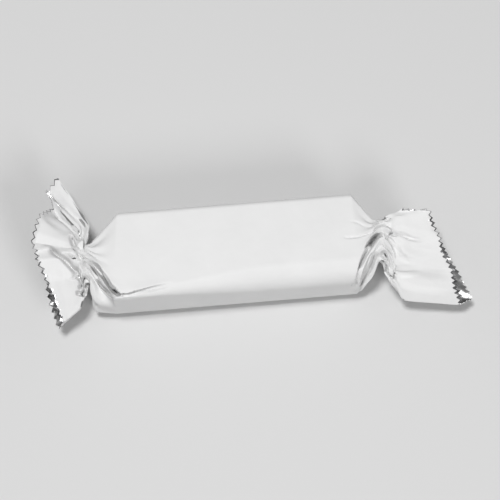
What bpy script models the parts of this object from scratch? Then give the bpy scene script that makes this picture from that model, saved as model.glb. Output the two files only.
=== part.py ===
"""A stick sweet in a white twist wrapper: one closed solid.

The frame: the bar lies along X, +Z is up, and the origin is the middle of the
flat underside that the sweet rests on. Lengths below are in millimetres.

The paper is one tube round the bar. Each end of the tube is drawn in over the
bar's end (the shoulder), gathered in pleats at the twist (the neck), and
spreads again into a flared fan with an open mouth. The whole outline is a set
of rings of COLUMNS points, and column k is the same line of paper in every
ring. Places round the tube are parts of a turn, from the middle of the back
over the top and the front to the underside.
"""

import math

import bmesh
import bpy
import numpy as np

MM = 0.001

# The bar inside its wrapper
BAR_LENGTH = 42.0
BAR_WIDTH = 15.4
BAR_HEIGHT = 11.2
R_BACK_TOP = 0.9  # corner radii of the wrapped bar's section
R_FRONT_TOP_LEFT = 1.3
R_FRONT_TOP_RIGHT = 3.7
R_FRONT_LOW = 2.6
R_BACK_LOW = 2.0
SKEW_LEFT = 1.7  # the left end is this much shorter at the back

# The twists
NECK_X = 25.0  # from the middle of the bar to the middle of each twist
NECK_RISE = 8.9
NECK_SIDE = -0.7
NECK_HALF_WIDE = 3.3  # the gathered paper is wider across than it is thick
NECK_HALF_THICK = 2.0
NECK_LENGTH = 1.0
NECK_PLEATS = 12
NECK_PLEAT_DEPTH = 0.4
SHOULDER_PLEAT_DEPTH = 0.35
FAN_PLEAT_DEPTH = 0.3
KNEE = 0.3  # where each line of a fan bends, as a share of its length
CLEAR = 0.7  # the fans stay this far above the surface

# The mouth of each fan
MOUTH_SHRINK = 0.2  # its wall, as a share of its half width
SHOULDER_STEPS = (0.0, 0.12, 0.3, 0.5, 0.7, 0.86)
FAN_STEPS = (0.1, 0.2, 0.3, 0.42, 0.56, 0.7, 0.85, 1.0)
MOUTH_STEPS = (1.0, 0.85, 0.7, 0.56)  # how far in the mouth stays open

COLUMNS = 72

# Each fan's rim, corner by corner round the tube: out is away from the bar,
# side is along +Y and rise is along +Z, all from the middle of the neck. The
# line of paper to a corner bends at its knee: so far out, and at that share of
# the corner's side and rise.
#     out   side   rise  knee  share
RIM_RIGHT = (
    (4.3, 4.7, 1.8, 1.4, 0.80),
    (9.4, 4.2, 2.2, 3.0, 0.86),
    (10.1, 0.8, 2.0, 3.2, 1.00),
    (10.8, -1.6, 1.7, 3.4, 1.00),
    (12.4, -6.2, -0.4, 3.4, 0.92),
    (13.4, -9.8, -3.0, 3.3, 0.88),
    (13.9, -11.3, -5.0, 3.2, 0.86),
    (15.8, -10.2, -6.0, 3.2, 0.86),
    (13.8, -4.6, -5.2, 3.0, 0.85),
    (11.2, -0.8, -4.2, 2.8, 0.88),
    (8.4, 2.2, -3.8, 2.4, 0.90),
    (6.0, 4.2, -2.1, 2.0, 0.90),
)
RIM_LEFT = (
    (4.4, 16.4, 0.4, -0.8, 0.44),
    (6.1, 13.8, 1.4, 0.9, 0.48),
    (5.7, 10.9, 1.4, 1.4, 0.52),
    (7.8, 8.4, 3.5, 2.0, 0.55),
    (8.8, 5.4, 4.2, 2.4, 0.60),
    (9.3, 3.6, 3.7, 2.4, 0.65),
    (8.9, 2.6, 2.6, 2.2, 0.70),
    (8.7, 0.6, 2.9, 2.2, 0.90),
    (7.3, -3.0, 1.4, 2.0, 0.90),
    (5.6, -9.2, -3.4, 1.6, 0.74),
    (6.2, -9.5, -4.5, 1.6, 0.72),
    (7.5, -4.6, -5.4, 1.6, 0.70),
    (7.9, -1.2, -5.2, 1.6, 0.70),
    (6.8, 3.6, -5.2, 1.4, 0.65),
    (5.8, 8.0, -4.4, 1.0, 0.60),
    (5.0, 13.2, -2.4, 0.0, 0.46),
)
FIRST_RIGHT = 0.05  # the first corner's place round the tube
FIRST_LEFT = 0.04

# How the paper crosses each shoulder: the place on the bar, the place round
# the neck in degrees, and how far the fold half way stands off the straight
# line between the two.
#     bar    neck    out   side   rise
WAY_RIGHT = (
    (0.10, 14.0, 0.0, 0.1, 0.05),
    (0.25, 55.0, 0.0, 0.0, 0.05),
    (0.40, 96.0, 0.1, -0.2, 0.10),
    (0.46, 122.0, -0.2, 0.7, -0.2),
    (0.54, 165.0, 0.6, -0.5, 0.1),
    (0.61, 195.0, 0.2, 0.0, -0.6),
    (0.75, 262.0, 0.0, 0.0, -0.4),
    (0.90, 338.0, 0.2, 0.2, -0.2),
)
WAY_LEFT = (
    (0.10, 14.0, 0.0, 0.1, 0.05),
    (0.25, 55.0, 0.0, 0.0, 0.05),
    (0.40, 96.0, 0.0, -0.1, 0.10),
    (0.455, 120.0, 0.0, 0.5, -0.3),
    (0.51, 148.0, 1.0, -1.1, 0.0),
    (0.61, 194.0, 2.1, -1.6, -2.2),
    (0.75, 262.0, 0.7, 0.0, -0.9),
    (0.90, 338.0, 0.2, 0.2, -0.2),
)


def places():
    """The place of each column round the tube, in parts of a turn."""
    return np.arange(COLUMNS) / COLUMNS


def rounded_rectangle(width, height, radii):
    """A closed section (y, z), one point a column, evenly spaced along its
    outline. It starts at the middle of the back and goes over the top.
    radii are those of the back top, front top, front low and back low."""
    half_w, half_h = width / 2.0, height / 2.0
    corners = (
        (half_w, half_h, radii[0], 0.0),
        (-half_w, half_h, radii[1], 90.0),
        (-half_w, -half_h, radii[2], 180.0),
        (half_w, -half_h, radii[3], 270.0),
    )
    outline = [(half_w, 0.0)]
    for y, z, radius, start in corners:
        cy = y - math.copysign(radius, y)
        cz = z - math.copysign(radius, z)
        for step in range(13):
            angle = math.radians(start + 90.0 * step / 12.0)
            outline.append((cy + radius * math.cos(angle), cz + radius * math.sin(angle)))
    outline.append((half_w, 0.0))
    outline = np.array(outline)
    steps = np.hypot(*np.diff(outline, axis=0).T)
    run = np.concatenate([[0.0], np.cumsum(steps)])
    at = places() * run[-1]
    return np.stack([np.interp(at, run, outline[:, i]) for i in (0, 1)], axis=1)


def zigzag(phase):
    """A wave of straight runs between -1 and 1, one for each whole phase."""
    return 4.0 * np.abs(phase - np.floor(phase + 0.5)) - 1.0


def smooth(f):
    f = min(max(f, 0.0), 1.0)
    return f * f * (3.0 - 2.0 * f)


def bar_ring(x, soft, skew):
    """The wrapped bar's outline at x. soft runs from 0 to 1 as the front top
    edge opens from its left to its right radius; the skew draws the outline
    back at the bar's back face."""
    front_top = R_FRONT_TOP_LEFT + (R_FRONT_TOP_RIGHT - R_FRONT_TOP_LEFT) * soft
    yz = rounded_rectangle(BAR_WIDTH, BAR_HEIGHT, (R_BACK_TOP, front_top, R_FRONT_LOW, R_BACK_LOW))
    return np.column_stack(
        [x - skew * (0.5 + yz[:, 0] / BAR_WIDTH), yz[:, 0], yz[:, 1] + BAR_HEIGHT / 2.0]
    )


def round_the_tube(table, at, wrap=None):
    """The table's values at every column, straight between its rows, which lie
    at those places. wrap is what each value grows by in a whole turn."""
    table = np.array(table, dtype=float)
    at = np.array(at)
    wrap = np.zeros(table.shape[1]) if wrap is None else np.array(wrap)
    knots = np.concatenate([at - 1.0, at, at + 1.0])
    values = np.concatenate([table - wrap, table, table + wrap])
    return np.stack(
        [np.interp(places(), knots, values[:, i]) for i in range(table.shape[1])], axis=1
    )


def rim_and_knees(corners, first):
    """The rim and its knees at every column. Each straight run of the rim has
    its own share of the paper."""
    table = np.array(corners)
    runs = np.linalg.norm(np.roll(table[:, :3], -1, axis=0) - table[:, :3], axis=1)
    at = first + np.concatenate([[0.0], np.cumsum(runs)[:-1]]) / runs.sum()
    knees = np.column_stack(
        [table[:, 3], table[:, 1] * table[:, 4], table[:, 2] * table[:, 4]]
    )
    both = round_the_tube(np.column_stack([table[:, :3], knees]), at)
    return both[:, :3], both[:, 3:]


def pleated(ring, depth, phase):
    """The ring with folds: points moved out from and in to its centre."""
    centre = ring[:, 1:].mean(axis=0)
    out = ring[:, 1:] - centre
    reach = np.linalg.norm(out, axis=1)
    wave = zigzag(NECK_PLEATS * places() + phase)
    moved = ring.copy()
    moved[:, 1:] += out / reach[:, None] * (depth * wave)[:, None]
    return moved


def end_rings(side, corners, first, way, soft, skew):
    """Rings from the end of the bar out to the rim, then back into the mouth.
    side is 1 at +X and -1 at -X."""
    x_end, x_neck = BAR_LENGTH / 2.0, NECK_X - NECK_LENGTH / 2.0
    across = round_the_tube(
        [row[1:] for row in way], [row[0] for row in way], (360.0, 0.0, 0.0, 0.0)
    )
    angle = np.radians(across[:, 0])
    neck = np.column_stack(
        [
            np.full(COLUMNS, x_neck),
            NECK_SIDE + NECK_HALF_WIDE * np.cos(angle),
            NECK_RISE + NECK_HALF_THICK * np.sin(angle),
        ]
    )
    bar = bar_ring(x_end, soft, skew)
    half_way = (bar + neck) / 2.0 + across[:, 1:]

    # The shoulder: straight from the bar's end edge to the fold half way, and
    # straight from there to the neck.
    rings = []
    for f in SHOULDER_STEPS:
        if f < 0.5:
            ring = bar + (half_way - bar) * 2.0 * f
        else:
            ring = half_way + (neck - half_way) * (2.0 * f - 1.0)
        rings.append(pleated(ring, SHOULDER_PLEAT_DEPTH * f**3, 0.0))
    rings.append(pleated(neck, NECK_PLEAT_DEPTH, 0.0))
    foot = neck + (NECK_LENGTH, 0.0, 0.0)
    rings.append(pleated(foot, NECK_PLEAT_DEPTH, 0.25))

    # The fan: each column runs straight from the neck to its knee, and
    # straight from there to its place on the rim.
    middle = np.array([NECK_X, NECK_SIDE, NECK_RISE])
    rim, knee = rim_and_knees(corners, first)
    rim, knee = rim + middle, knee + middle
    outer = []
    for t in FAN_STEPS:
        if t < KNEE:
            ring = foot + (knee - foot) * (t / KNEE)
        else:
            ring = knee + (rim - knee) * ((t - KNEE) / (1.0 - KNEE))
        ring = pleated(ring, FAN_PLEAT_DEPTH * (1.0 - smooth(t / 0.6)), 0.25 + 0.5 * t)
        ring[:, 2] = np.maximum(ring[:, 2], CLEAR)
        outer.append(ring)
    rings.extend(outer)

    # The mouth: the same folds, drawn in sideways to the middle of the tube.
    inner = []
    for t in MOUTH_STEPS:
        ring = outer[FAN_STEPS.index(t)].copy()
        centre = ring[:, 1:].mean(axis=0)
        ring[:, 1:] = centre + (ring[:, 1:] - centre) * (1.0 - MOUTH_SHRINK)
        inner.append(ring)
    rings.extend(inner)
    floor_of_mouth = inner[-1].mean(axis=0)
    floor_of_mouth[0] -= 1.0
    turned = (side, 1.0, 1.0)
    return [ring * turned for ring in rings], floor_of_mouth * turned


def candy_mesh():
    right, right_floor = end_rings(1.0, RIM_RIGHT, FIRST_RIGHT, WAY_RIGHT, 1.0, 0.0)
    left, left_floor = end_rings(-1.0, RIM_LEFT, FIRST_LEFT, WAY_LEFT, 0.0, SKEW_LEFT)
    half = BAR_LENGTH / 2.0
    middle = []
    for x in np.linspace(-half, half, 9)[1:-1]:
        leaning = SKEW_LEFT * smooth((-2.0 - x) / 18.0)
        middle.append(bar_ring(x, smooth((x + 16.0) / 22.0), -leaning))
    rings = left[::-1] + middle + right

    bm = bmesh.new()
    loops = [[bm.verts.new(point * MM) for point in ring] for ring in rings]
    for one, two in zip(loops, loops[1:]):
        for k in range(COLUMNS):
            n = (k + 1) % COLUMNS
            bm.faces.new((one[k], two[k], two[n], one[n]))
    for loop, floor in ((loops[0], left_floor), (loops[-1], right_floor)):
        tip = bm.verts.new(floor * MM)
        for k in range(COLUMNS):
            bm.faces.new((loop[k], loop[(k + 1) % COLUMNS], tip))
    bmesh.ops.triangulate(bm, faces=bm.faces[:])
    bmesh.ops.recalc_face_normals(bm, faces=bm.faces[:])
    return bm


def main():
    for thing in list(bpy.data.objects):
        bpy.data.objects.remove(thing, do_unlink=True)

    paper = bpy.data.materials.new("wrapper_paper")
    paper.use_nodes = True
    shader = paper.node_tree.nodes["Principled BSDF"]
    shader.inputs["Base Color"].default_value = (0.80, 0.80, 0.80, 1.0)
    shader.inputs["Roughness"].default_value = 0.45
    shader.inputs["Metallic"].default_value = 0.0

    mesh = bpy.data.meshes.new("wrapped_candy")
    bm = candy_mesh()
    bm.to_mesh(mesh)
    bm.free()
    mesh.materials.append(paper)
    mesh.shade_smooth()
    mesh.set_sharp_from_angle(angle=math.radians(25.0))
    candy = bpy.data.objects.new("wrapped_candy", mesh)
    bpy.context.scene.collection.objects.link(candy)


main()
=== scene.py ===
import math

import bmesh
import bpy
import numpy as np
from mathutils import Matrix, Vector


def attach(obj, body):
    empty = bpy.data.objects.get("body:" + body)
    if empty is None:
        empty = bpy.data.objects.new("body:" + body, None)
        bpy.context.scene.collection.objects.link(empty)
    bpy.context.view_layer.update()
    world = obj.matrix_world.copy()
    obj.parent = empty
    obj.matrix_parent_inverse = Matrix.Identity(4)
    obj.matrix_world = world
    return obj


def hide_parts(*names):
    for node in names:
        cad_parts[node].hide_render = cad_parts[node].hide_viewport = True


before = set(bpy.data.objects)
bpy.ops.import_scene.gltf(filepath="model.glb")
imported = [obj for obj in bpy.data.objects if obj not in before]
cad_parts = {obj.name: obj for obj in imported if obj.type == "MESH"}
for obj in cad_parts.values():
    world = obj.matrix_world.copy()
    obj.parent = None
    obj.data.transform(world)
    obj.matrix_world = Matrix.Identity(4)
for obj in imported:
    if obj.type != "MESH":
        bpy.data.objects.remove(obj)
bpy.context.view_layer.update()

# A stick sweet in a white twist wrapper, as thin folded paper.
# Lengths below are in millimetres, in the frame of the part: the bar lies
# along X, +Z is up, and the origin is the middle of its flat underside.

MM = 0.001

# ---------------------------------------------------------------- sizes
BAR_LENGTH = 42.0
BAR_WIDTH = 15.4
BAR_HEIGHT = 11.2
NECK_X = 25.0  # middle of each twist, from the middle of the bar
NECK_RISE = 8.9  # height of the middle of each twist
NECK_SIDE = -0.7
NECK_HALF_WIDE = 3.3
NECK_HALF_THICK = 2.0
NECK_LENGTH = 1.0
PAPER = 0.07  # thickness of the paper
TOOTH_DEPTH = 0.6
TEETH = 48  # teeth of the zigzag cut, round each mouth
SLEEVE_ROWS = 12
SHOULDER_ROWS = 22
NECK_ROWS = 4
FAN_ROWS = 56
KNEE = 0.30  # where each line of a fan bends, as a share of its length

# Rims of the two fans: the corners of the cut edge, from the back over the top
# and the front to the underside. out is away from the bar, side is along +Y,
# rise is along +Z, all from the middle of the neck. The line to a corner bends
# at its knee: so far out, and at that share of the corner's side and rise.
#     out   side   rise  knee  share
RIM_RIGHT = (
    (4.3, 4.7, 1.8, 1.4, 0.80),
    (9.0, 4.0, 2.2, 3.0, 0.86),
    (9.7, 0.8, 1.8, 3.2, 1.00),
    (10.4, -1.6, 1.7, 3.4, 1.00),
    (12.1, -6.0, -0.4, 3.4, 0.92),
    (13.0, -9.4, -3.0, 3.3, 0.88),
    (13.4, -11.2, -5.0, 3.2, 0.86),
    (15.4, -10.0, -5.9, 3.2, 0.86),
    (13.4, -4.6, -5.2, 3.0, 0.85),
    (11.2, -0.8, -4.2, 2.8, 0.88),
    (8.4, 2.2, -3.8, 2.4, 0.90),
    (6.0, 4.0, -2.1, 2.0, 0.90),
)
RIM_LEFT = (
    (4.2, 16.3, 0.6, -0.8, 0.44),
    (6.0, 14.2, -0.3, 0.8, 0.48),
    (6.0, 13.2, 1.6, 1.2, 0.50),
    (5.5, 10.9, -0.4, 1.4, 0.52),
    (7.5, 8.2, 3.4, 2.0, 0.55),
    (8.4, 5.4, 3.9, 2.4, 0.60),
    (8.9, 3.6, 3.5, 2.4, 0.65),
    (8.5, 2.7, 1.9, 2.2, 0.70),
    (8.3, 0.8, 2.6, 2.2, 0.90),
    (6.9, -3.0, 1.4, 2.0, 0.90),
    (5.2, -9.0, -3.4, 1.6, 0.74),
    (5.9, -9.3, -4.5, 1.6, 0.72),
    (7.1, -4.6, -5.4, 1.6, 0.70),
    (7.5, -1.2, -5.2, 1.6, 0.70),
    (6.6, 3.6, -5.2, 1.4, 0.65),
    (5.6, 8.0, -4.4, 1.0, 0.60),
    (5.0, 13.0, -2.4, 0.0, 0.46),
)

# How the paper crosses each shoulder, round the tube from the back: the place
# on the bar (part of a turn), the place round the neck (degrees), and how far
# the fold half way stands off the straight line between them.
#     bar    neck    out   side   rise
WAY_RIGHT = (
    (0.10, 14.0, 0.0, 0.1, 0.05),
    (0.25, 55.0, 0.0, 0.0, 0.05),
    (0.40, 96.0, 0.1, -0.2, 0.10),
    (0.46, 122.0, -0.2, 0.7, -0.2),
    (0.54, 165.0, 0.6, -0.5, 0.1),
    (0.61, 195.0, 0.2, 0.0, -0.6),
    (0.75, 262.0, 0.0, 0.0, -0.4),
    (0.90, 338.0, 0.2, 0.2, -0.2),
)
WAY_LEFT = (
    (0.10, 14.0, 0.0, 0.1, 0.05),
    (0.25, 55.0, 0.0, 0.0, 0.05),
    (0.40, 96.0, 0.0, -0.1, 0.10),
    (0.455, 120.0, 0.0, 0.5, -0.3),
    (0.51, 148.0, 1.0, -1.1, 0.0),
    (0.61, 194.0, 2.1, -1.6, -2.2),
    (0.75, 262.0, 0.7, 0.0, -0.9),
    (0.90, 338.0, 0.2, 0.2, -0.2),
)
UPRIGHT = (0.0, -0.26, 0.966)  # the way down into the deep folds
# the lines of the paper along the tube, as parts of a turn: closer together
# where the folds are, and always a whole even number to a tooth
LINES = np.concatenate(
    [
        (k + np.arange(n) / n) / TEETH
        for k in range(TEETH)
        for n in [10 if 14 <= k <= 28 else 6 if 2 <= k <= 31 else 4]
    ]
)
COLUMNS = len(LINES)
# relative widths of the pleats at the necks, round the tube from the back
PLEATS = tuple(1.0 + 0.45 * math.sin(2.4 * i + 0.7) for i in range(15))


# ---------------------------------------------------------------- shapes
def smooth(f):
    f = np.clip(f, 0.0, 1.0)
    return f * f * (3.0 - 2.0 * f)


def tent(f):
    """1 at 0, falling straight to 0 at -1 and 1."""
    return np.maximum(1.0 - np.abs(f), 0.0)


def section(radii, width=BAR_WIDTH, height=BAR_HEIGHT):
    """The wrapped bar's section (y, z), evenly spaced along its outline from
    the middle of the back over the top. radii: back top, front top, front
    low, back low."""
    half_w, half_h = width / 2.0, height / 2.0
    corners = (
        (half_w, half_h, radii[0], 0.0),
        (-half_w, half_h, radii[1], 90.0),
        (-half_w, -half_h, radii[2], 180.0),
        (half_w, -half_h, radii[3], 270.0),
    )
    outline = [(half_w, 0.0)]
    for y, z, radius, start in corners:
        cy = y - math.copysign(radius, y)
        cz = z - math.copysign(radius, z)
        for step in range(13):
            angle = math.radians(start + 90.0 * step / 12.0)
            outline.append((cy + radius * math.cos(angle), cz + radius * math.sin(angle)))
    outline.append((half_w, 0.0))
    outline = np.array(outline)
    run = np.concatenate([[0.0], np.cumsum(np.hypot(*np.diff(outline, axis=0).T))])
    at = LINES * run[-1]
    return np.stack(
        [np.interp(at, run, outline[:, 0]), np.interp(at, run, outline[:, 1]) + half_h], axis=1
    )


def radii_at(soft):
    """The wrapped bar's corner radii: the front top edge is crisp (soft 0) at
    the left end and soft (1) at the right."""
    return (0.9, 1.3 + 2.4 * soft, 2.6, 2.0)


def bar_ring(x, soft, skew=0.0):
    """The bar's outline at x, drawn back by the skew at its back face."""
    yz = section(radii_at(soft))
    return np.column_stack([x - skew * (0.5 + yz[:, 0] / BAR_WIDTH), yz])


def round_tube(table, turn_of):
    """The table's values at every column, straight between its rows."""
    table = np.array(table)
    knots = np.concatenate([turn_of - 1.0, turn_of, turn_of + 1.0])
    return np.stack([np.interp(LINES, knots, np.tile(table[:, i], 3)) for i in range(table.shape[1])], axis=1)


def rim_of(corners, first):
    """The rim and its knees at every column. Each straight run of the rim has
    its share of the paper; first is the first corner's place round the tube."""
    table = np.array(corners)
    runs = np.linalg.norm(np.roll(table[:, :3], -1, axis=0) - table[:, :3], axis=1)
    turn_of = first + np.concatenate([[0.0], np.cumsum(runs)[:-1]]) / runs.sum()
    knees = np.column_stack([table[:, 3], table[:, 1] * table[:, 4], table[:, 2] * table[:, 4]])
    both = round_tube(np.column_stack([table[:, :3], knees]), turn_of)
    return both[:, :3], both[:, 3:]


def ring_length(ring):
    return np.linalg.norm(np.roll(ring, -1, axis=0) - ring, axis=1).sum()


def pleat_wave(weights, u):
    """A zigzag between -1 and 1 over pleats of these widths, and each point's
    own pleat width as a share of the tube."""
    share = np.array(weights) / sum(weights)
    edges = np.concatenate([[0.0], np.cumsum(share)])
    u = u % 1.0
    k = np.clip(np.searchsorted(edges, u, side="right") - 1, 0, len(share) - 1)
    f = (u - edges[k]) / share[k]
    return 1.0 - 4.0 * np.abs(f - 0.5), share[k]


def facets(rng, rows, cells_u, cells_s):
    """Piecewise straight relief: random heights on a jittered lattice."""
    grid = rng.uniform(-1.0, 1.0, (cells_s + 2, cells_u))
    shift = rng.uniform(-0.3, 0.3, (cells_s + 2, cells_u))
    out = np.zeros((rows, COLUMNS))
    for r in range(rows):
        v = r / max(rows - 1, 1) * cells_s
        i = int(v)
        g = v - i
        line = []
        for k in (i, i + 1):
            at = (np.arange(cells_u) + 0.5 + shift[k]) / cells_u
            at3 = np.concatenate([at - 1.0, at, at + 1.0])
            line.append(np.interp(LINES, at3, np.tile(grid[k], 3)))
        out[r] = line[0] * (1.0 - g) + line[1] * g
    return out


def normals_of(p):
    across = np.roll(p, -1, axis=1) - np.roll(p, 1, axis=1)
    along = np.gradient(p, axis=0)
    n = np.cross(across, along)
    return n / np.maximum(np.linalg.norm(n, axis=2, keepdims=True), 1e-9)


def faces_of(p):
    """Middles and unit normals of the sheet's cells."""
    q = np.roll(p, -1, axis=1)
    middle = (p[:-1] + p[1:] + q[:-1] + q[1:]) / 4.0
    n = np.cross(q[1:] - p[:-1], p[1:] - q[:-1])
    return middle, n / np.maximum(np.linalg.norm(n, axis=2, keepdims=True), 1e-9)


def crisp(p, rounds, alike, turns, keep):
    """Draws a wrinkled sheet into flat facets that meet in sharp creases."""
    for _ in range(turns):
        middle, n = faces_of(p)
        for _ in range(rounds):
            total = n.copy()
            for dr, dc in ((0, 1), (0, -1), (1, 0), (-1, 0), (1, 1), (1, -1), (-1, 1), (-1, -1)):
                near = np.roll(n, dc, axis=1)
                if dr:
                    near = np.concatenate([near[dr:], near[-1:]]) if dr > 0 else np.concatenate([near[:1], near[:-1]])
                gap = ((near - n) ** 2).sum(axis=2)
                total += near * np.exp(-gap / (2.0 * alike**2))[:, :, None]
            n = total / np.maximum(np.linalg.norm(total, axis=2, keepdims=True), 1e-9)
        for _ in range(10):
            middle, _n = faces_of(p)
            move = np.zeros_like(p)
            count = np.zeros(p.shape[:2] + (1,))
            for part in (slice(1, None), slice(None, -1)):
                for turn in (0, 1):
                    m = np.roll(middle, turn, axis=1)
                    k = np.roll(n, turn, axis=1)
                    move[part] += ((m - p[part]) * k).sum(axis=2, keepdims=True) * k
                    count[part] += 1.0
            p = p + move / count * keep[:, :, None]
    return p


def blurred(p, rounds):
    """The sheet without its fine relief."""
    for _ in range(rounds):
        p = (np.roll(p, 2, axis=1) + p + np.roll(p, -2, axis=1)) / 3.0
        p = np.concatenate([p[:1], (p[:-2] + 2.0 * p[1:-1] + p[2:]) / 4.0, p[-1:]])
    return p


def beside(p, points, fade):
    """Where the sheet's points lie beside a route through it, whose points are
    (row, part of a turn). Gives the distance from the route in millimetres,
    above zero towards the greater turn for a route with rising rows, the
    route's strength, which fades over so many millimetres at its two ends,
    and the ways across the route and out of the sheet."""
    at, turns = np.array(points).T
    fine = np.linspace(0.0, len(at) - 1.0, 12 * (len(at) - 1) + 1)
    at, turns = np.interp(fine, np.arange(len(at)), at), np.interp(fine, np.arange(len(at)), turns)
    calm = blurred(p, 4)
    out_of = normals_of(calm)

    def read(table):
        r = np.clip(at, 0.0, len(p) - 1.001)
        i, f = r.astype(int), (r % 1.0)[:, None]
        j = np.searchsorted(LINES, turns % 1.0, side="right") - 1
        g = ((turns % 1.0 - LINES[j]) / (np.append(LINES, 1.0)[j + 1] - LINES[j]))[:, None]
        k = (j + 1) % COLUMNS
        return (table[i, j] * (1.0 - g) + table[i, k] * g) * (1.0 - f) + (table[i + 1, j] * (1.0 - g) + table[i + 1, k] * g) * f

    line, up = read(calm), read(out_of)
    for _ in range(6):
        line[1:-1] = (line[:-2] + 2.0 * line[1:-1] + line[2:]) / 4.0
        up[1:-1] = (up[:-2] + up[1:-1] + up[2:]) / 3.0
    first, last = max(int(at.min()) - 10, 0), min(int(at.max()) + 11, len(p))
    part, facing = p[first:last], out_of[first:last]
    best = np.full(part.shape[:2], 9.0)
    off, reached = np.full(part.shape[:2], 9.0), np.zeros(part.shape[:2])
    over, out = np.zeros_like(part), np.zeros_like(part)
    run = 0.0
    for a, b, n in zip(line[:-1], line[1:], up[:-1]):
        length = max(np.linalg.norm(b - a), 1e-6)
        ahead = (b - a) / length
        side = np.cross(ahead, n)
        side /= np.linalg.norm(side)
        n = np.cross(side, ahead)
        gap = part - a
        on = np.clip(gap @ ahead, 0.0, length)
        flat = gap - on[:, :, None] * ahead
        high = flat @ n
        flat = flat - high[:, :, None] * n
        far = np.linalg.norm(flat, axis=2)
        take = (far < best) & (np.abs(high) < 2.0) & (facing @ n > 0.1)
        best = np.where(take, far, best)
        off = np.where(take, np.where(flat @ side < 0.0, -far, far), off)
        reached = np.where(take, run + on, reached)
        over[take], out[take] = side, n
        run += length
    strength = smooth(reached / fade[0]) * smooth((run - reached) / fade[1])

    def whole(table, empty):
        full = np.full(p.shape[:2] + table.shape[2:], empty)
        full[first:last] = table
        return full

    return whole(off, 9.0), whole(strength, 0.0), whole(over, 0.0), whole(out, 0.0)


def crease(p, routes, fade=(1.0, 1.0), way=None):
    """Raises (or, below zero, sinks) narrow folds, square to the paper or the
    given way. A route gives the fold's half width, its height and its points."""
    for wide, tall, *points in routes:
        off, strength, _over, out = beside(p, points, fade)
        out = out if way is None else np.array(way)
        side = smooth(1.25 * tent(off / wide))
        p = p + out * (side * strength * tall)[:, :, None]
        if way is not None:
            p = relaxed(p, tent(off / (wide + 0.6)) * strength, 3)
    return p


def relaxed(p, weight, rounds):
    """Evens out the lines of the sheet where the weight is above zero."""
    weight = smooth(1.5 * weight)[1:-1, :, None] * 0.6
    for _ in range(rounds):
        beside_it = (np.roll(p, 1, axis=1) + np.roll(p, -1, axis=1))[1:-1] / 2.0
        ahead = (p[:-2] + p[2:]) / 2.0
        p = p.copy()
        p[1:-1] += weight * ((beside_it + ahead) / 2.0 - p[1:-1])
    return p


def lap(p, routes, fade=(1.0, 2.5)):
    """Lets the paper overlap itself. A route gives the width over which the
    paper rises towards it (below zero: from the other side), how high it
    rises, how deep the paper behind is tucked in, how far the upper paper
    reaches over it, and the route's points."""
    for wide, tall, tuck, reach, *points in routes:
        off, strength, over, out = beside(p, points, fade)
        way = -1.0 if wide > 0 else 1.0
        off = off * way
        rise = np.where(off >= 0.0, tent(off / abs(wide)), tent(off / 0.35))
        rise = tall * rise - tuck * tent((off + 0.65) / 0.6)
        shift = reach * np.where(off >= 0.0, tent(off / 1.4), tent(off / 0.35))
        p = p + out * (rise * strength)[:, :, None] - over * (way * shift * strength)[:, :, None]
    return p


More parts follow.
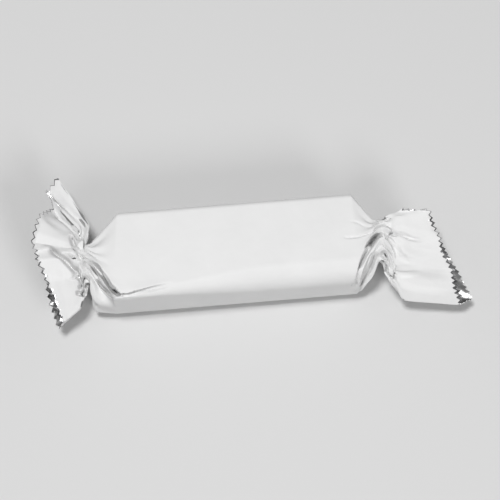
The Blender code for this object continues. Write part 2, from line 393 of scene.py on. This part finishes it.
def make_end(end):
    """The paper of one end, for the end at +X, in rows from the sleeve that
    lies on the bar out to the cut edge."""
    rng = np.random.default_rng(end["seed"])
    x_end, x_neck = BAR_LENGTH / 2.0, NECK_X - NECK_LENGTH / 2.0
    u = LINES
    way = round_tube([line[1:] for line in end["way"]], np.array([line[0] for line in end["way"]]))
    angles = [line[1] for line in end["way"]]
    knots = np.array([line[0] for line in end["way"]])
    angle = np.radians(
        np.interp(
            u,
            np.concatenate([knots - 1.0, knots, knots + 1.0]),
            np.concatenate([np.array(angles) - 360.0, angles, np.array(angles) + 360.0]),
        )
    )
    neck = np.stack(
        [
            NECK_SIDE + NECK_HALF_WIDE * np.cos(angle),
            NECK_RISE + NECK_HALF_THICK * np.sin(angle),
        ],
        axis=1,
    )
    base = bar_ring(x_end, end["soft"], end["skew"])
    start = np.column_stack([np.full(COLUMNS, x_neck), neck])
    half_way = (base + start) / 2.0 + way[:, 1:]
    # the paper over the top of the bar stays nearly flat right up to the neck
    quiet = smooth((np.abs(u - end["calm"][0]) - end["calm"][1]) / 0.06)
    rings, excess = [], []
    for k in range(SLEEVE_ROWS):
        rings.append(bar_ring(x_end - 0.28 * (SLEEVE_ROWS - k), end["soft"], end["skew"]))
        excess.append(np.ones(COLUMNS))
    for f in np.arange(SHOULDER_ROWS) / SHOULDER_ROWS:
        if f < 0.5:
            rings.append(base + (half_way - base) * 2.0 * f)
        else:
            rings.append(half_way + (start - half_way) * (2.0 * f - 1.0))
        excess.append(1.0 + (0.20 + 0.50 * quiet) * f ** (4.0 - 1.6 * quiet))
    for f in np.arange(NECK_ROWS) / NECK_ROWS:
        rings.append(start + (NECK_LENGTH * f, 0.0, 0.0))
        excess.append(np.full(COLUMNS, 1.7))
    start = start + (NECK_LENGTH, 0.0, 0.0)
    rim, knee = rim_of(end["rim"], end["first"])
    middle = np.array([NECK_X, NECK_SIDE, NECK_RISE])
    rim, knee = rim + middle, knee + middle
    for t in np.arange(FAN_ROWS + 1) / FAN_ROWS:
        if t < KNEE:
            rings.append(start + (knee - start) * (t / KNEE))
        else:
            rings.append(knee + (rim - knee) * ((t - KNEE) / (1.0 - KNEE)))
        mix = smooth(t / end["pleated"])
        excess.append(np.full(COLUMNS, 1.7 * (1.0 - mix) + mix))
    p, excess = np.array(rings), np.array(excess)
    lift = 0.7 * smooth((np.arange(len(p)) - SLEEVE_ROWS) / 8.0)
    p[:, :, 2] = np.maximum(p[:, :, 2], lift[:, None])
    # round the fold at the knees and the shoulders a little
    for _ in range(3):
        p[SLEEVE_ROWS + 1 : -1] = (p[SLEEVE_ROWS:-2] + 2.0 * p[SLEEVE_ROWS + 1 : -1] + p[SLEEVE_ROWS + 2 :]) / 4.0
    rows = len(p)
    row = np.arange(rows)[:, None]
    lengths = np.array([ring_length(r) for r in p])
    t = np.clip((row - SLEEVE_ROWS - SHOULDER_ROWS - NECK_ROWS) / FAN_ROWS, 0.0, 1.0)
    # pleats
    wander = 0.012 * np.sin(row * 0.10 + 5.0 * u[None, :] * math.pi + end["seed"])
    # the twist carries the pleats on round the neck
    wander = wander + 0.09 * smooth((row - SLEEVE_ROWS - SHOULDER_ROWS + 5) / 15.0)
    wave, share = pleat_wave(PLEATS, u[None, :] + wander + end["seed"] * 0.01)
    height = share * lengths[:, None] / 4.0 * np.sqrt(np.maximum(excess**2 - 1.0, 0.0))
    p = p + normals_of(p) * (wave * height)[:, :, None]
    # the twist winds round the foot of the fan
    where, wide, tall = end["collar"]
    wind = where + 0.05 * np.sin(2.0 * math.pi * (u[None, :] - 0.1))
    ridge = tent((t - wind) / wide) - 0.8 * tent((t - wind - 1.6 * wide) / wide)
    p = p + normals_of(p) * (tall * ridge * smooth((0.27 - np.abs(u - 0.36)) / 0.1))[:, :, None]
    p = crease(p, end["bands"])
    # crumples
    relief = facets(rng, rows, 12, 12) * 0.22 + facets(rng, rows, 30, 26) * 0.16 * (1.0 - 0.7 * t)
    on_shoulder = smooth((row - SLEEVE_ROWS - 4) / 16.0) * (0.15 + 0.85 * quiet)
    p = p + normals_of(p) * (relief * np.where(t > 0.0, 0.35 + 0.65 * tent(t / 0.5), on_shoulder))[:, :, None]
    keep = smooth((np.arange(rows) - SLEEVE_ROWS) / 3.0)[:, None] * np.ones(COLUMNS)
    p = crisp(p, 6, 0.30, 2, keep)
    p = lap(p, end["laps"])
    p = crease(p, end["swells"], (4.0, 4.0))
    p = crease(p, end["lines"])
    p = crease(p, end["gaps"], (1.0, 1.0), UPRIGHT)
    # the thin edge curls unevenly
    curl = facets(rng, rows, 34, 30) * smooth((t - 0.93) / 0.07) * 0.30
    crinkled = smooth(1.5 - np.abs(u - 0.68) / 0.09)
    curl = curl + facets(rng, rows, 44, 34) * smooth((t - 0.70) / 0.2) * 0.38 * crinkled
    p = p + normals_of(p) * curl[:, :, None]
    p[:, :, 2] = np.maximum(p[:, :, 2], 0.1)
    return p


# rows: the bar's end edge is at 12, the neck at 34 to 38, the cut edge at 94
RIGHT = {
    "rim": RIM_RIGHT,
    "way": WAY_RIGHT,
    "first": 0.05,
    "calm": (0.32, 0.22),
    "pleated": 0.24,
    "collar": (0.10, 0.05, 0.2),
    "bands": (
        (0.8, 0.5, (40, 0.50), (52, 0.58)),
        (0.9, 0.3, (40, 0.22), (66, 0.26)),
    ),
    "laps": (
        (-1.6, 0.3, 0.4, 0.3, (13, 0.565), (20, 0.552), (30, 0.545), (36, 0.53), (40, 0.48), (44, 0.40)),
    ),
    "swells": (
        (2.6, -0.4, (40, 0.24), (95, 0.30)),
        (2.6, 0.3, (40, 0.33), (95, 0.37)),
        (2.2, -0.3, (40, 0.43), (95, 0.45)),
    ),
    "lines": (
        (0.3, -0.20, (4, 0.268), (20, 0.278), (32, 0.287)),
        (0.3, -0.12, (9, 0.212), (17, 0.215), (25, 0.235)),
        (0.8, -0.7, (9, 0.50), (11, 0.46), (14, 0.405), (18, 0.385), (25, 0.370)),
    ),
    "gaps": (
        (0.55, -1.3, (13, 0.405), (18, 0.388), (23, 0.372), (31, 0.364)),
        (0.6, -3.2, (26, 0.368), (31, 0.362), (39, 0.338)),
        (0.55, -2.2, (36, 0.53), (40, 0.48), (44, 0.41)),
        (0.5, -1.3, (13, 0.535), (19, 0.515), (27, 0.505), (35, 0.497)),
        (0.55, -1.9, (42, 0.575), (45, 0.55), (48, 0.47), (51, 0.43)),
    ),
    "bare": ((0.0, 0.3), (0.16, 0.3), (0.24, 0.45), (0.45, 0.6), (0.6, 0.8), (0.9, 0.3)),
    "soft": 1.0,
    "skew": 0.0,
    "seed": 11,
}
LEFT = {
    "rim": RIM_LEFT,
    "way": WAY_LEFT,
    "first": 0.04,
    "calm": (0.25, 0.12),
    "pleated": 0.24,
    "collar": (0.10, 0.09, 0.30),
    "bands": (
        (0.5, -0.6, (50, 0.060), (70, 0.076), (95, 0.085)),
        (0.8, -0.6, (46, 0.20), (88, 0.175)),
        (1.0, -0.3, (58, 0.25), (90, 0.235)),
        (0.8, -0.65, (47, 0.465), (54, 0.436), (61, 0.405), (71, 0.366), (80, 0.348), (86, 0.340)),
    ),
    "laps": (),
    "swells": (
        (2.0, -0.3, (40, 0.42), (95, 0.41)),
        (2.2, 0.3, (40, 0.22), (95, 0.20)),
    ),
    "lines": (
        (0.45, -0.7, (76, 0.083), (94, 0.088)),
    ),
    "gaps": (
        (0.5, -1.5, (50, 0.310), (60, 0.245)),
        (0.5, -1.8, (46, 0.61), (46, 0.54), (47, 0.50), (50, 0.465), (58, 0.437)),
        (0.8, -1.4, (47, 0.565), (44, 0.605)),
        (0.5, -1.6, (52, 0.447), (57, 0.428), (62, 0.404), (71, 0.364), (80, 0.347)),
    ),
    "bare": ((0.0, 0.35), (0.10, 0.15), (0.34, 0.2), (0.42, 0.5), (0.55, 0.7), (0.85, 0.3)),
    "soft": 0.0,
    "skew": 1.7,
    "seed": 23,
}

# ---------------------------------------------------------------- the paper
right = make_end(RIGHT)
left = make_end(LEFT)
left[:, :, 0] *= -1.0
count = right.shape[1]
body_from = left[0, :, 0].min()
body_to = right[0, 0, 0]
middle_rings = [
    bar_ring(x, smooth((x + 16.0) / 22.0)) for x in np.linspace(body_from, body_to, 62)[1:-1]
]
# the skew of the left end fades out along the bar
for k, ring in enumerate(middle_rings):
    ring[:, 0] += (left[0, :, 0] - body_from) * smooth(1.0 - k / 30.0)
sheet = np.concatenate([left[::-1], np.array(middle_rings), right])
# a deep fold runs from the left neck round the corner of the bar and fades out
# along its front top edge, with a short one beside it
sheet = lap(sheet, ((1.5, 0.2, 0.2, 0.2, (74, 0.378), (80, 0.386), (86, 0.403), (91, 0.408), (96, 0.398), (106, 0.378)),), (1.5, 4.0))
sheet = crease(sheet, ((0.55, -2.6, (58, 0.392), (62, 0.385), (68, 0.377), (74, 0.376), (80, 0.385), (86, 0.403)),), (1.5, 1.5), UPRIGHT)
sheet = crease(
    sheet,
    ((0.55, -1.0, (78, 0.382), (82, 0.390), (86, 0.403), (91, 0.408), (96, 0.398), (106, 0.378)),),
    (1.0, 4.5),
)
sheet = crease(sheet, ((0.5, -2.0, (66, 0.455), (70, 0.466), (76, 0.45), (83, 0.41)),), (1.0, 1.0), UPRIGHT)
sheet = crease(
    sheet,
    (
        (0.5, 0.3, (66, 0.42), (72, 0.425), (79, 0.41)),
    ),
)
# shallow wrinkles run out of the right neck into the fan
sheet = crease(
    sheet,
    (
        (0.9, -0.30, (202, 0.315), (209, 0.325), (218, 0.340), (226, 0.350)),
        (0.8, -0.30, (204, 0.420), (210, 0.405), (218, 0.400), (228, 0.395)),
    ),
    (1.0, 4.0),
)
# a fold runs out of the right neck over the top of the fan and fades out
sheet = crease(
    sheet,
    ((0.5, -0.85, (198, 0.292), (203, 0.246), (210, 0.228), (215, 0.231), (222, 0.249), (229, 0.260), (236, 0.266)),),
    (1.0, 4.5),
)
sheet = crease(
    sheet,
    (
        (0.3, -0.14, (86, 0.748), (166, 0.752)),
    ),
)
rows = len(sheet)

# the zigzag cut
teeth = 1.0 - np.abs(2.0 * ((LINES * TEETH) % 1.0) - 1.0)
for edge, inner in ((0, 2), (rows - 1, rows - 3)):
    way = sheet[edge] - sheet[inner]
    way /= np.maximum(np.linalg.norm(way, axis=1, keepdims=True), 1e-6)
    sheet[edge] += way * (TOOTH_DEPTH * teeth - 0.12)[:, None]
sheet[:, :, 2] = np.maximum(sheet[:, :, 2], 0.1)

# how far each point lies from its cut edge, along the paper
step = np.linalg.norm(np.diff(sheet, axis=0), axis=2)
from_left = np.concatenate([np.zeros((1, count)), np.cumsum(step, axis=0)])
to_edge = np.minimum(from_left, from_left[-1] - from_left)


def bare_width(end):
    """The width of the bare edge at every column."""
    at, wide = np.array(end["bare"]).T
    knots = np.concatenate([at - 1.0, at, at + 1.0])
    u = LINES
    torn = np.interp(u * 26.0, np.arange(27), np.random.default_rng(end["seed"]).uniform(0.2, 1.7, 27))
    return np.interp(u, knots, np.tile(wide, 3)) * torn


# in widths of the bare edge: below 1 the metal shows
half = rows // 2
to_edge[:half] /= bare_width(LEFT)
to_edge[half:] /= bare_width(RIGHT)

# the foil inside each fan, from the cut edge down into the neck, where the
# twisted paper closes the way
fan_rows = FAN_ROWS + 1
normals = normals_of(sheet)


def lining(outer, n):
    """The inner face of a fan, from its cut edge to the neck."""
    middle = outer.mean(axis=1, keepdims=True)
    f = smooth((np.arange(len(outer)) - 40.0) / 14.0)[:, None, None]
    # close to the paper at the cut, clear of its creases farther in
    inner = outer - n * (PAPER + 0.06 * smooth(np.arange(len(outer)) / 8.0))[:, None, None]
    close = middle + (outer - middle) * 0.55
    return inner * (1.0 - f) + close * f


inner_left = lining(sheet[:fan_rows], normals[:fan_rows])[::2]
inner_right = lining(sheet[::-1][:fan_rows], normals[::-1][:fan_rows])[::2]

bm = bmesh.new()
flat = bm.loops.layers.uv.new("paper")
verts = [[bm.verts.new(v * MM) for v in row] for row in sheet]


across_paper = np.append(LINES, 1.0) * 0.52  # round the tube, in decimetres


def quads(one, two, finish, edge_one, edge_two, turned=False):
    """Faces between two rings of points."""
    for c in range(count):
        n = (c + 1) % count
        ring = [(one[c], c, edge_one[c]), (one[n], c + 1, edge_one[n]), (two[n], c + 1, edge_two[n]), (two[c], c, edge_two[c])]
        if turned:
            ring.reverse()
        face = bm.faces.new([v for v, _, _ in ring])
        face.material_index = finish
        for loop, (_, cc, e) in zip(face.loops, ring):
            loop[flat].uv = (across_paper[cc], e / 100.0)


for r in range(rows - 1):
    quads(verts[r], verts[r + 1], 0, to_edge[r], to_edge[r + 1])
zero = np.zeros(count)
for rings, outer, turned in ((inner_left, verts[0], True), (inner_right, verts[-1], False)):
    before = outer
    for ring in rings:
        after = [bm.verts.new(v * MM) for v in ring]
        quads(before, after, 1, zero, zero, turned)
        before = after
    tip = bm.verts.new(rings[-1].mean(axis=0) * MM)
    for c in range(count):
        n = (c + 1) % count
        corners = (before[c], before[n], tip)
        bm.faces.new(corners[::-1] if turned else corners).material_index = 1
bm.normal_update()
mesh = bpy.data.meshes.new("wrapper_paper")
bm.to_mesh(mesh)
bm.free()
mesh.shade_smooth()
mesh.set_sharp_from_angle(angle=math.radians(34.0))
wrapper = bpy.data.objects.new("wrapper_paper", mesh)
bpy.context.scene.collection.objects.link(wrapper)


# ---------------------------------------------------------------- finishes
def new_material(name):
    made = bpy.data.materials.new(name)
    made.use_nodes = True
    return made, made.node_tree.nodes, made.node_tree.links, made.node_tree.nodes["Principled BSDF"]


def add(nodes, kind, **values):
    node = nodes.new(kind)
    for key, value in values.items():
        if key in node.inputs:
            node.inputs[key].default_value = value
        else:
            setattr(node, key, value)
    return node


def paper_side():
    """Satin white waxed paper, bare metal along the cut edge."""
    made, nodes, wires, shader = new_material("wrapper_paper")
    place = add(nodes, "ShaderNodeTexCoord")
    uv = add(nodes, "ShaderNodeUVMap", uv_map="paper")
    split = add(nodes, "ShaderNodeSeparateXYZ")
    wires.new(uv.outputs["UV"], split.inputs[0])
    # the printed white ends a little unevenly short of the cut
    rough_line = add(nodes, "ShaderNodeTexNoise", Scale=900.0, Detail=2.0)
    wires.new(place.outputs["Object"], rough_line.inputs["Vector"])
    shift = add(nodes, "ShaderNodeMath", operation="MULTIPLY_ADD")
    wires.new(rough_line.outputs["Fac"], shift.inputs[0])
    shift.inputs[1].default_value = 0.006
    wires.new(split.outputs["Y"], shift.inputs[2])
    margin = add(nodes, "ShaderNodeMapRange", clamp=True)
    margin.inputs["From Min"].default_value = 0.0125
    margin.inputs["From Max"].default_value = 0.0140
    wires.new(shift.outputs[0], margin.inputs["Value"])
    # faint unevenness of the paper's white
    cloud = add(nodes, "ShaderNodeTexNoise", Scale=160.0, Detail=3.0)
    wires.new(place.outputs["Object"], cloud.inputs["Vector"])
    white = add(nodes, "ShaderNodeMapRange")
    white.inputs["To Min"].default_value = 0.70
    white.inputs["To Max"].default_value = 0.76
    wires.new(cloud.outputs["Fac"], white.inputs["Value"])
    tone = add(nodes, "ShaderNodeCombineColor")
    for i in range(3):
        wires.new(white.outputs[0], tone.inputs[i])
    colour = add(nodes, "ShaderNodeMix", data_type="RGBA")
    colour.inputs["A"].default_value = (0.50, 0.50, 0.51, 1.0)
    wires.new(margin.outputs[0], colour.inputs["Factor"])
    wires.new(tone.outputs[0], colour.inputs["B"])
    wires.new(colour.outputs["Result"], shader.inputs["Base Color"])
    metal = add(nodes, "ShaderNodeMath", operation="SUBTRACT")
    metal.inputs[0].default_value = 1.0
    wires.new(margin.outputs[0], metal.inputs[1])
    wires.new(metal.outputs[0], shader.inputs["Metallic"])
    gloss = add(nodes, "ShaderNodeMapRange")
    gloss.inputs["To Min"].default_value = 0.22
    gloss.inputs["To Max"].default_value = 0.50
    wires.new(margin.outputs[0], gloss.inputs["Value"])
    wires.new(gloss.outputs[0], shader.inputs["Roughness"])
    # fine crinkle and paper grain
    crinkle = add(nodes, "ShaderNodeTexNoise", Scale=520.0, Detail=4.0)
    wires.new(place.outputs["Object"], crinkle.inputs["Vector"])
    grain = add(nodes, "ShaderNodeTexNoise", Scale=5200.0, Detail=2.0)
    wires.new(place.outputs["Object"], grain.inputs["Vector"])
    first = add(nodes, "ShaderNodeBump", Strength=0.16, Distance=0.0004)
    wires.new(crinkle.outputs["Fac"], first.inputs["Height"])
    second = add(nodes, "ShaderNodeBump", Strength=0.10, Distance=0.00005)
    wires.new(grain.outputs["Fac"], second.inputs["Height"])
    wires.new(first.outputs[0], second.inputs["Normal"])
    wires.new(second.outputs[0], shader.inputs["Normal"])
    shader.inputs["Specular IOR Level"].default_value = 0.22
    return made


def foil_side():
    """The metallised inside of the paper, its silver mottled with painted dark and bright patches that stand in for
    reflections.
    """
    made, nodes, wires, shader = new_material("wrapper_foil")
    place = add(nodes, "ShaderNodeTexCoord")
    # painted reflections: noise mottles the foil's colour between darker and lighter silver in place of glints
    painted_glint_noise = add(nodes, "ShaderNodeTexNoise", Scale=300.0, Detail=2.0)
    wires.new(place.outputs["Object"], painted_glint_noise.inputs["Vector"])
    painted_glint_range = add(nodes, "ShaderNodeMapRange")
    painted_glint_range.inputs["To Min"].default_value = 0.42
    painted_glint_range.inputs["To Max"].default_value = 0.66
    wires.new(painted_glint_noise.outputs["Fac"], painted_glint_range.inputs["Value"])
    tone = add(nodes, "ShaderNodeCombineColor")
    for i in range(3):
        wires.new(painted_glint_range.outputs[0], tone.inputs[i])
    wires.new(tone.outputs[0], shader.inputs["Base Color"])
    shader.inputs["Metallic"].default_value = 1.0
    shader.inputs["Roughness"].default_value = 0.28
    crinkle = add(nodes, "ShaderNodeTexNoise", Scale=700.0, Detail=4.0)
    wires.new(place.outputs["Object"], crinkle.inputs["Vector"])
    bump = add(nodes, "ShaderNodeBump", Strength=0.4, Distance=0.0004)
    wires.new(crinkle.outputs["Fac"], bump.inputs["Height"])
    wires.new(bump.outputs[0], shader.inputs["Normal"])
    return made


mesh.materials.append(paper_side())
mesh.materials.append(foil_side())

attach(wrapper, "root")
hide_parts("wrapped_candy")

# ---------------------------------------------------------------- the studio
floor_mesh = bpy.data.meshes.new("floor")
fb = bmesh.new()
bmesh.ops.create_grid(fb, x_segments=1, y_segments=1, size=3.0)
fb.to_mesh(floor_mesh)
fb.free()
floor = bpy.data.objects.new("floor", floor_mesh)
bpy.context.scene.collection.objects.link(floor)
floor.location.z = -0.0002
ground = bpy.data.materials.new("floor")
ground.use_nodes = True
ground.node_tree.nodes["Principled BSDF"].inputs["Base Color"].default_value = (0.64, 0.64, 0.64, 1.0)
ground.node_tree.nodes["Principled BSDF"].inputs["Roughness"].default_value = 0.8
floor_mesh.materials.append(ground)

world = bpy.data.worlds.new("studio")
bpy.context.scene.world = world
world.use_nodes = True
sky = world.node_tree
where = sky.nodes.new("ShaderNodeTexCoord")
height = sky.nodes.new("ShaderNodeSeparateXYZ")
sky.links.new(where.outputs["Generated"], height.inputs[0])
grade = sky.nodes.new("ShaderNodeMapRange")
grade.inputs["From Min"].default_value = 0.0
grade.inputs["From Max"].default_value = 0.7
grade.inputs["To Min"].default_value = 0.03
grade.inputs["To Max"].default_value = 0.26
sky.links.new(height.outputs["Z"], grade.inputs["Value"])
sky.nodes["Background"].inputs["Color"].default_value = (1.0, 1.0, 1.0, 1.0)
sky.links.new(grade.outputs[0], sky.nodes["Background"].inputs["Strength"])


def soft_light(name, place, power, size):
    data = bpy.data.lights.new(name, "AREA")
    data.shape = "DISK"
    data.size = size
    data.energy = power
    lamp = bpy.data.objects.new(name, data)
    lamp.location = place
    lamp.rotation_mode = "QUATERNION"
    lamp.rotation_quaternion = Vector(place).to_track_quat("Z", "Y")
    bpy.context.scene.collection.objects.link(lamp)


soft_light("key", (-0.09, 0.0, 0.60), 2.4, 0.13)
soft_light("fill", (0.25, -0.5, 0.4), 1.65, 0.25)

AZIMUTH, ELEVATION, LENS, SPAN = -5.0, 70.0, 135.0, 0.087
eye = bpy.data.cameras.new("camera")
eye.lens = LENS
eye.sensor_width = 36.0
camera = bpy.data.objects.new("camera", eye)
bpy.context.scene.collection.objects.link(camera)
bpy.context.scene.camera = camera
az, el = math.radians(AZIMUTH), math.radians(ELEVATION)
back = Vector((math.sin(az) * math.cos(el), -math.cos(az) * math.cos(el), math.sin(el)))
aim = Vector((0.003, 0.001, 0.005))
camera.location = aim + back * (SPAN / 2.0 / (18.0 / LENS))
camera.rotation_mode = "QUATERNION"
camera.rotation_quaternion = (-back).to_track_quat("-Z", "Y")
eye.clip_start, eye.clip_end = 0.01, 50.0
bpy.context.scene.view_settings.view_transform = "Standard"
